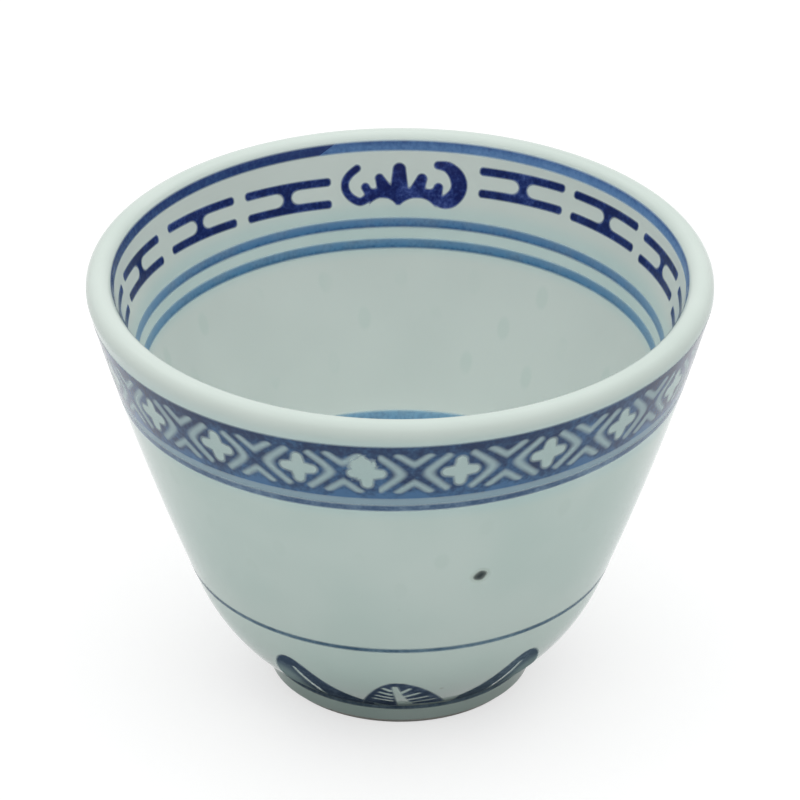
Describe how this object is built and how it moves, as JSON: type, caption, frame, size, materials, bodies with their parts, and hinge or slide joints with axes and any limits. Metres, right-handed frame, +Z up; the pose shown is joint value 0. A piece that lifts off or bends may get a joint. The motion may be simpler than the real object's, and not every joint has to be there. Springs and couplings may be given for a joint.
{
  "type": "teacup",
  "caption": "Handle-less porcelain teacup with a flared wall, foot ring, rice-grain windows and blue fret, bat, lozenge and petal bands.",
  "frame": {"origin": "centre of the foot ring's resting face, on the table", "axes": "+Z up along the cup's axis; -Y is the front, opposite the middle bat of the inner band"},
  "size_m": [0.085, 0.085, 0.0613],
  "materials": {
    "porcelain": "matt bare porcelain",
    "glaze": "gloss, cool grey-green white",
    "grain_glaze": "gloss, slightly translucent",
    "cobalt": "gloss, cobalt blue under the glaze's surface",
    "washed_cobalt": "gloss, thin washed cobalt",
    "iron": "gloss, fired-in iron spot"
  },
  "bodies": {
    "root": {"bowl_body": "porcelain", "foot_ring": "porcelain", "inner_glaze": "glaze", "outer_glaze": "glaze", "base_glaze": "glaze", "border_reserves": "glaze", "grain_windows": "grain_glaze", "rim_line": "cobalt", "upper_ring": "washed_cobalt", "lower_ring": "washed_cobalt", "well_ring": "washed_cobalt", "fret_key_1": "cobalt", "fret_key_2": "cobalt", "fret_key_3": "cobalt", "fret_key_4": "cobalt", "fret_key_5": "cobalt", "fret_key_6": "cobalt", "fret_key_7": "cobalt", "fret_key_8": "cobalt", "fret_key_9": "cobalt", "fret_key_10": "cobalt", "fret_key_11": "cobalt", "fret_key_12": "cobalt", "bat_1": "cobalt", "bat_2": "cobalt", "bat_3": "cobalt", "lozenge_border": "cobalt", "border_line": "cobalt", "waist_line": "cobalt", "lappet_1": "cobalt", "lappet_2": "cobalt", "lappet_3": "cobalt", "lappet_4": "cobalt", "lappet_5": "cobalt", "lappet_6": "cobalt", "lappet_7": "cobalt", "lappet_8": "cobalt", "foot_line": "cobalt", "iron_spot": "iron"}
  },
  "joints": []
}
